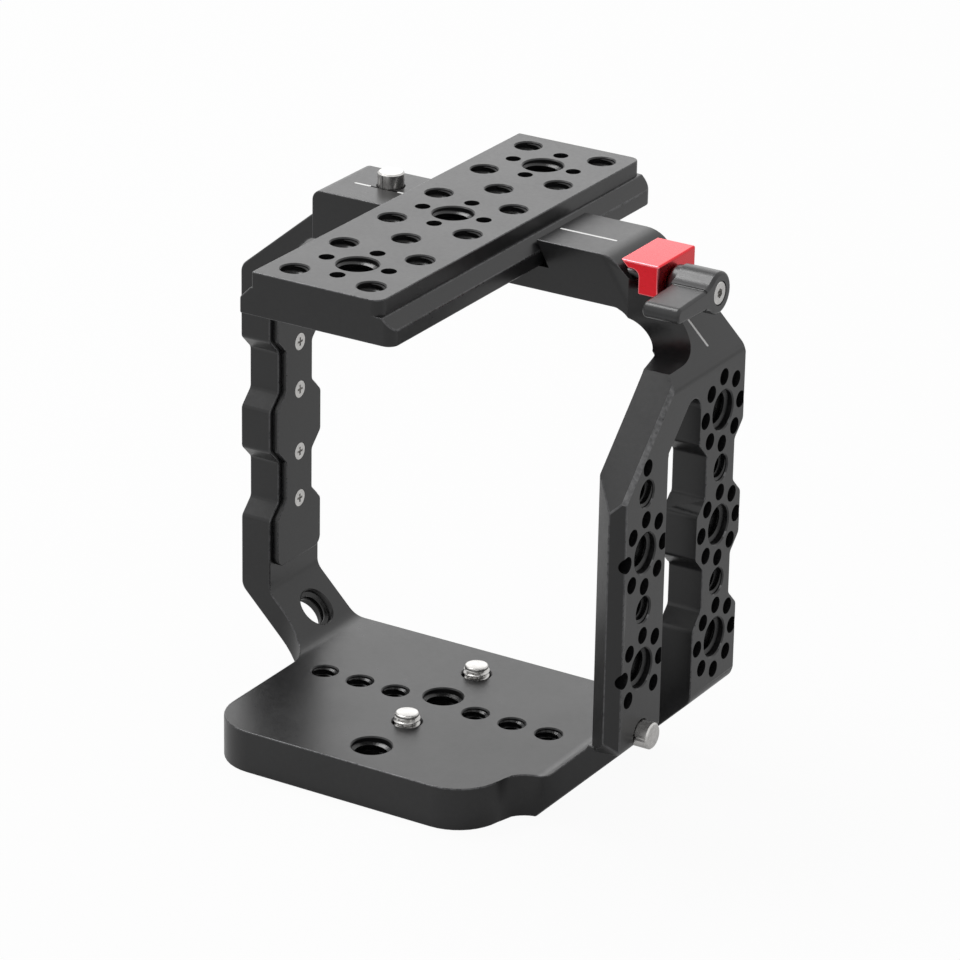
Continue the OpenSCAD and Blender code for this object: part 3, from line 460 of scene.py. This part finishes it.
def painted_lines(name, lines):
    """Each line is a flat bar with half-round ends: two half circles about its ends, drawn on
    the line's own face, stand a hair proud of it and reach to the groove's floor."""
    points, faces = [], []
    turn = np.linspace(-math.pi / 2, math.pi / 2, 9)[:, None]
    for start, end, upward in lines:
        start, end, upward = (np.array(v, float) for v in (start, end, upward))
        along = (end - start) / np.linalg.norm(end - start)
        cap = along * np.cos(turn) + np.cross(upward, along) * np.sin(turn)
        rim = np.concatenate([end + (cap - along) * MARK_HALF, start - (cap - along) * MARK_HALF])
        faces += tube_faces(2, len(rim), sum(len(p) for p in points))
        points += [rim - upward * MARK_DEEP, rim + upward * MARK_PROUD]
    return add_piece(name, mesh_from(name, points, faces), "frame", "white_fill", white_fill)


marks = painted_lines("film_plane_lines", [
    ((-0.03555, MARK_Y, BAR_TOP), (-0.03105, MARK_Y, BAR_TOP), UP),
    ((-0.02375, MARK_Y, BAR_TOP), (-0.0189, MARK_Y, BAR_TOP), UP),
    ((0.0202, MARK_Y, BAR_TOP), (0.0351, MARK_Y, BAR_TOP), UP),
    ((0.053, MARK_Y, 0.11408), (0.0594, MARK_Y, 0.10768), (SLANT, 0, SLANT))])
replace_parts(marks, "film_plane_marks")

# ---------------------------------------------------------------------------------------
# Clamp jaw: a hook of aluminium over the crossbar's end, anodised red. Two steel pins guide
# it and the lever's stud draws it shut. Its edges are broken by a bevel in a lighter red, a painted
# highlight.
# ---------------------------------------------------------------------------------------
red_anodised = anodised("red_anodised", (0.7, 0.01, 0.02), (0.78, 0.014, 0.028),
                        0.92, (0.24, 0.34), 2.0e-5, coat=0.25, grain=3000.0)
# Painted highlight: the jaw's bevel strips get this lighter, glossier red.
red_painted_highlight_edge = anodised("red_anodised_painted_highlight_edge", (0.85, 0.12, 0.15), (0.9, 0.2, 0.22),
                    0.9, (0.2, 0.3), 1.0e-5, coat=0.8)
machined("clamp_jaw", "red_clamp_jaw", "clamp_jaw", "red_anodised", red_anodised, red_painted_highlight_edge, 0.00045,
         holes=[(LEVER_AXIS, RIGHT, 0.0023)] + [(p, RIGHT, 0.0011) for p in guide_pins])

# ---------------------------------------------------------------------------------------
# Thumb lever: a moulded plastic handle that lifts off its steel insert's teeth against a
# spring, held by a screw with a six-lobed socket.
# ---------------------------------------------------------------------------------------
black_plastic = anodised("black_plastic", (0.02, 0.02, 0.021), (0.028, 0.028, 0.029),
                         0.0, (0.26, 0.36), 2.4e-5, grain=2600.0)


def hub_joins(middles):
    """True for the arm's back outline where it runs into the hub, too close for a rounding."""
    x, y, z = (middles - np.array(LEVER_AXIS)).T
    return (np.abs(x - 0.0026) < 0.0004) & (np.hypot(y, z) < 0.0066)


machined("lever_handle", "thumb_lever", "lever_handle", "black_plastic", black_plastic, black_plastic,
         0.0008, steps=4, holes=[(LEVER_AXIS, RIGHT, 0.0031)], spare=hub_joins)
machined("lever_screw", "lever_retaining_screw", "lever_hub", "bright_steel", bright_steel, steel_painted_highlight_edge,
         0.00018, holes=[(LEVER_AXIS, RIGHT, 0.0011)])


def on_lever_axis(away):
    """The place on the lever's axis that far out from the jaw's face."""
    return (LEVER_AXIS[0] + away, LEVER_AXIS[1], LEVER_AXIS[2])


def coil(name, start, axis, radius, wire, turns, length, body, slot, finish):
    """A compression spring. Its wire's middle is at (radius cos a, radius sin a,
    length a / (2 pi turns)) for a from 0 to 2 pi turns, and its section has ten sides."""
    angle = np.linspace(0, 2 * math.pi * turns, int(36 * turns) + 1)[:, None]
    side = -np.arange(10)[None, :] * 2 * math.pi / 10
    h = length * angle / (2 * math.pi * turns) + wire * np.sin(side)
    points = wound(start, axis, angle, radius + wire * np.cos(side), h)
    mesh = mesh_from(name, [points], tube_faces(len(angle), 10, 0))
    mesh.shade_smooth()
    return add_piece(name, mesh, body, slot, finish)


spring = coil("lever_spring_coil", on_lever_axis(0.00614), RIGHT, radius=0.00234, wire=0.0002,
              turns=4, length=0.00382, body="lever_hub", slot="bright_steel", finish=bright_steel)
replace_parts(spring, "lever_spring")
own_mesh(spring)

# ---------------------------------------------------------------------------------------
# Camera screws: captive steel screws with a slotted head, which hang under the web on a
# retaining ring and a slippery washer. The thread ends in a polished neck.
# ---------------------------------------------------------------------------------------
HEAD_TOP, TIP = 0.00405, 0.01305      # the head's shoulder and the screw's tip
NECK = TIP - 0.0008                   # over this height there is no thread
NECK_Z = [0, TIP - 0.0011, NECK, TIP - 0.0003, TIP - 0.0001, TIP]
NECK_R = [SMALL_R, SMALL_R, 0.0028, 0.0028, 0.00268, 0.0024]
SCREW_THREAD = 0.00072                # how deep the thread is cut


def camera_screw(node, name, y, body):
    """The head is the CAD node's, cut off over its shoulder. Over it the shank's radius is a
    triangle wave of height over pitch less turn, held inside the neck's outline at the tip."""
    columns = 48
    z = np.arange(HEAD_TOP - 0.0003, TIP - 0.0001, 0.0001)
    z = np.append(z, [TIP - 0.00004, TIP])[:, None]
    turn = np.arange(columns)[None, :] / columns
    wave = np.abs((z / SMALL_PITCH - turn) % 1 - 0.5) * 2
    thread = SMALL_R - SCREW_THREAD * (1 - np.clip(1.35 * wave - 0.12, 0, 1))
    neck = np.interp(z, NECK_Z, NECK_R)
    r = np.minimum(np.where(z > NECK, neck, thread), neck)
    around = turn * 2 * math.pi
    points = np.stack([r * np.cos(around), y + r * np.sin(around), np.broadcast_to(z, r.shape)], -1)
    shank = mesh_from(name + "_shank", [points.reshape(-1, 3)], tube_faces(len(z), columns, 0))
    whole = bmesh.new()
    whole.from_mesh(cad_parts[node].data)
    bmesh.ops.remove_doubles(whole, verts=whole.verts, dist=SAME_PLACE)
    parts = [*whole.verts, *whole.edges, *whole.faces]
    cut = bmesh.ops.bisect_plane(whole, geom=parts, plane_co=(0, 0, HEAD_TOP + HAIR),
                                 plane_no=UP, clear_outer=True)
    rim = [e for e in cut["geom_cut"] if isinstance(e, bmesh.types.BMEdge)]
    bmesh.ops.holes_fill(whole, edges=rim)
    whole.from_mesh(shank)
    bpy.data.meshes.remove(shank)
    mesh = bpy.data.meshes.new(name)
    whole.to_mesh(mesh)
    whole.free()
    mesh.shade_smooth()
    mesh.set_sharp_from_angle(angle=math.radians(35))
    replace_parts(add_piece(name, mesh, body, "bright_steel", bright_steel), node)


camera_screw("front_camera_screw", "front_screw_threaded", FRONT_SCREW_Y, "front_screw")
camera_screw("rear_camera_screw", "rear_screw_threaded", REAR_SCREW_Y, "rear_screw")
white_plastic = anodised("white_plastic", (0.78, 0.78, 0.76), (0.84, 0.84, 0.82),
                         0.0, (0.3, 0.4), 1.0e-5, grain=1500.0)
for node in ("front_screw_washer", "rear_screw_washer"):
    dress(node, white_plastic)

# ---------------------------------------------------------------------------------------
# Stage: a pale floor, soft light all round, two soft lamps over and behind the cage, and the
# camera at the photograph's angle.
# ---------------------------------------------------------------------------------------
FLOOR_REACH, FLOOR_Z = 4, -1e-4
MIDDLE = Vector((0, -0.005, 0.065))                 # what the lamps look at
TURN, RISE, ROLL = (math.radians(angle) for angle in (30.995, 22.9556, 1.04755))
CAMERA_PLACE, LENS = (0.52739358, -0.86282294, 0.4947452), 177.238


def background_share(tree, seen, mirrored):
    """How much of the plain white background a ray gets: one share for rays from the camera,
    another for those that come off metal or through glass."""
    rays = tree.nodes.new("ShaderNodeLightPath").outputs
    shares = [combine(tree, "MULTIPLY", rays[kind], share) for kind, share in
              (("Is Camera Ray", seen), ("Is Glossy Ray", mirrored), ("Is Transmission Ray", mirrored))]
    return combine(tree, "MAXIMUM", combine(tree, "MAXIMUM", shares[0], shares[1]), shares[2])


def mixed(tree, share, base, over, output):
    """Sends a mix to the tree's output: the base, and over it its share of the other."""
    mix = tree.nodes.new("ShaderNodeMixShader")
    for term, socket in zip((share, base.outputs[0], over.outputs[0]), mix.inputs):
        tree.links.new(term, socket)
    tree.links.new(mix.outputs["Shader"], tree.nodes[output].inputs["Surface"])


corners = [(x * FLOOR_REACH, y * FLOOR_REACH, FLOOR_Z) for x, y in ((-1, -1), (1, -1), (1, 1), (-1, 1))]
floor = bpy.data.objects.new("floor", mesh_from("floor", [corners], [(0, 1, 2, 3)]))
bpy.context.scene.collection.objects.link(floor)
paper, tree, matt = new_material("floor_paper", {
    "Base Color": (0.75, 0.75, 0.75, 1), "Roughness": 0.9, "Specular IOR Level": 0.0})
glow = tree.nodes.new("ShaderNodeEmission")
glow.inputs["Strength"].default_value = 1.0
mixed(tree, background_share(tree, 0.95, 0.3), matt, glow, "Material Output")
floor.data.materials.append(paper)

world = bpy.data.worlds.new("studio")
world.use_nodes = True
bpy.context.scene.world = world
tree = world.node_tree
soft = tree.nodes["Background"]
soft.inputs["Color"].default_value = (0.45, 0.45, 0.45, 1)
white = tree.nodes.new("ShaderNodeBackground")
white.inputs["Color"].default_value = (1, 1, 1, 1)
mixed(tree, background_share(tree, 1.0, 1.0), soft, white, "World Output")


def soft_lamp(name, towards, distance, size, radiance):
    """A square soft lamp that looks at the cage. Its power follows from the brightness of
    its face: brightness times area times pi."""
    data = bpy.data.lights.new(name, "AREA")
    data.shape = "SQUARE"
    data.size = size
    data.energy = radiance * size * size * math.pi
    lamp = bpy.data.objects.new(name, data)
    bpy.context.scene.collection.objects.link(lamp)
    way = Vector(towards).normalized()
    lamp.location = MIDDLE + way * distance
    lamp.rotation_mode = "QUATERNION"
    lamp.rotation_quaternion = (-way).to_track_quat("-Z", "Y")


soft_lamp("overhead_lamp", (-0.47, 0.06, 0.88), distance=1.3, size=0.6, radiance=8.0)
soft_lamp("back_lamp", (-0.474, 0.789, 0.39), distance=1.6, size=1.0, radiance=0.9)

camera_data = bpy.data.cameras.new("camera")
camera_data.lens = LENS
camera_data.sensor_width = 36.0
camera_data.clip_end = 20.0
camera = bpy.data.objects.new("camera", camera_data)
bpy.context.scene.collection.objects.link(camera)
back = Vector((math.sin(TURN) * math.cos(RISE), -math.cos(TURN) * math.cos(RISE), math.sin(RISE)))
level = Vector((math.cos(TURN), math.sin(TURN), 0))
upright = back.cross(level)
right = level * math.cos(ROLL) + upright * math.sin(ROLL)
above = upright * math.cos(ROLL) - level * math.sin(ROLL)
place = Matrix((right, above, back)).transposed().to_4x4()
place.translation = CAMERA_PLACE
camera.matrix_world = place
bpy.context.scene.camera = camera

bpy.context.scene.view_settings.view_transform = "Standard"
